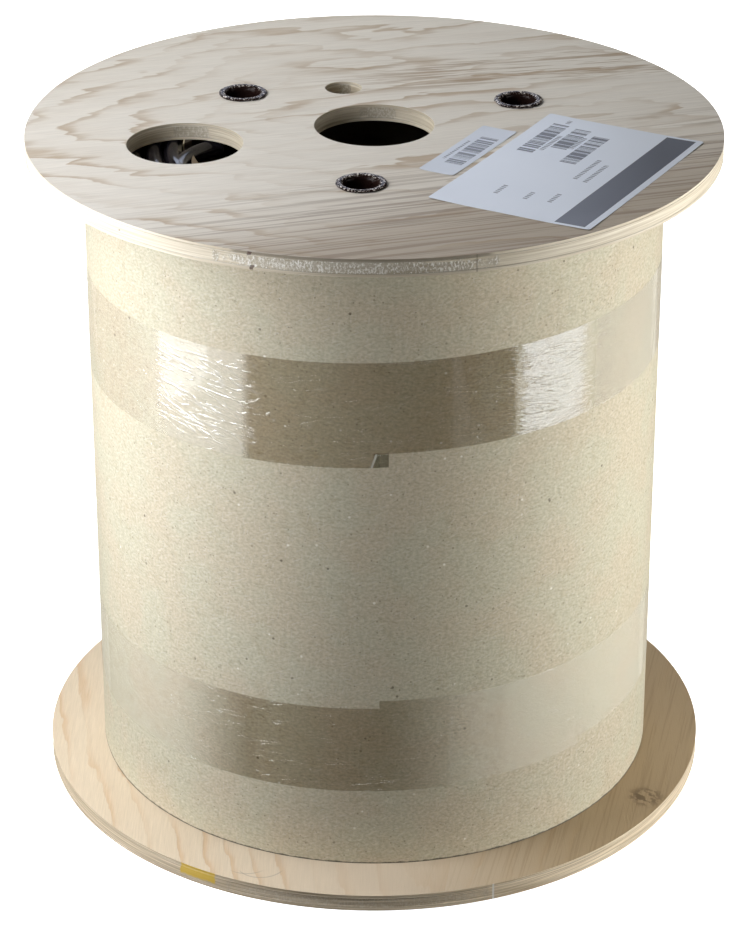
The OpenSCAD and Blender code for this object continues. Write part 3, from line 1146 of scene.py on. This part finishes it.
def strip_light(name, power, turn, reach, width, low, high, colour=(1, 1, 1)):
    """An upright strip beside the drum, turn degrees round from its front towards +X."""
    middle = (low + high) / 2
    angle = math.radians(turn)
    place = (reach * math.sin(angle), -reach * math.cos(angle), middle)
    area_light(name, power, (width, high - low), place, (0, 0, middle), colour, glossy=False)


def panel(name, brightness, x, y_range, z_range):
    """An upright panel beside the drum that only glossy surfaces mirror."""
    (y_low, y_high), (z_low, z_high) = y_range, z_range
    size = (y_high - y_low, z_high - z_low)
    place = (x, (y_low + y_high) / 2, (z_low + z_high) / 2)
    area_light(
        name, power_for(brightness, size), size, place, (0, place[1], place[2]), (0.95, 0.99, 1),
        diffuse=False,
    )


# Panels at each side of the drum, that the films mirror: brightness, reach in Y and in Z
PANEL_REACH = 0.6
PANELS = {
    "right": (
        (5.5, (-0.464, -0.086), (-0.06, 0.22)),
        (5.8, (-0.464, -0.086), (0.23, 0.5)),
        (0.8, (-0.086, 0.9), (-0.1, 0.25)),
        (0.25, (-1.1, -0.8), (-0.7, -0.12)),
        (0.5, (-0.8, -0.5), (-0.6, -0.12)),
        (0.8, (-0.5, 0.9), (-0.6, -0.12)),
    ),
    "left": (
        (0.5, (-0.6, -0.34), (-0.02, 0.22)),
        (2.6, (-0.34, -0.084), (0.06, 0.22)),
        (15.0, (-0.6, -0.084), (0.23, 0.55)),
        (0.5, (-0.084, 0.9), (-0.1, 0.25)),
    ),
}


def make_lights():
    strip_light("soft_left", 5.1, -62, 0.5, 0.3, 0.05, 0.95, (0.98, 1, 1.06))
    strip_light("soft_right", 1.9, 66, 0.5, 0.3, 0.0, 0.5)
    strip_light("edge_right", 0.3, 84, 0.5, 0.3, 0.0, 0.5)
    area_light("far_right", 4.2, (0.7, 0.5), (1.25, -0.7, 0.25), (0, 0, 0.2), glossy=False)
    area_light("overhead", 9.8, (0.8, 0.8), (-0.7, 0.5, 1.3), (0, 0, 0.4), (1, 0.98, 0.9), glossy=False)
    area_light("back_fill", 9, (1.6, 0.8), (0.1, 1.4, 0.45), (0, 0, 0.2), glossy=False)
    low_size, sheen_size = (2.4, 1.6), (0.7, 0.5)
    low_power, sheen_power = power_for(0.5, low_size), power_for(2.0, sheen_size)
    area_light("low_back", low_power, low_size, (0, 1.6, -0.4), (0, 0, -0.4), diffuse=False)
    area_light(
        "back_sheen", sheen_power, sheen_size, (-0.1, 1.3, 1.0), (0, 0, 0.4), (0.85, 0.93, 1.15),
        diffuse=False,
    )
    for side, name in ((1, "right"), (-1, "left")):
        for number, (brightness, y_range, z_range) in enumerate(PANELS[name]):
            panel(f"panel_{name}_{number}", brightness, side * PANEL_REACH, y_range, z_range)
    world = bpy.data.worlds.new("studio")
    bpy.context.scene.world = world
    world.use_nodes = True
    background = world.node_tree.nodes["Background"]
    background.inputs["Color"].default_value = (1, 0.98, 0.9, 1)
    background.inputs["Strength"].default_value = 0.02


def make_floor():
    nothing_selected()
    bpy.ops.mesh.primitive_plane_add(size=40, location=(0, 0, 0))
    floor = named("floor")
    look = Look("pale_floor")
    tone = look.mix(look.noise(0.6, detail=2), (0.86, 0.86, 0.86), (0.88, 0.88, 0.88))
    look.surface(base_color=tone, roughness=0.9, emission_color=(1, 1, 1), emission_strength=0.9)
    floor.data.materials.append(look.material)
    floor.visible_diffuse = False
    floor.visible_glossy = False


def make_camera():
    """A long lens at the drum's front, well above it, with a small shift that keeps uprights upright."""
    camera = bpy.data.cameras.new("camera")
    camera.sensor_width = 36
    camera.lens = 121.46
    camera.shift_y = -0.1502
    camera.shift_x = 0.0008
    camera.clip_end = 100
    viewer = bpy.data.objects.new("camera", camera)
    bpy.context.scene.collection.objects.link(viewer)
    viewer.location = (0, -1.7156, 1.0395)
    viewer.rotation_euler = (math.radians(90 - 23.909), 0, 0)
    bpy.context.scene.camera = viewer


make_camera()
make_lights()
make_floor()
make_flanges()
make_tubes()
make_board()
make_tapes()
make_labels()
finish_cad_nodes()
bpy.context.scene.view_settings.view_transform = "Standard"
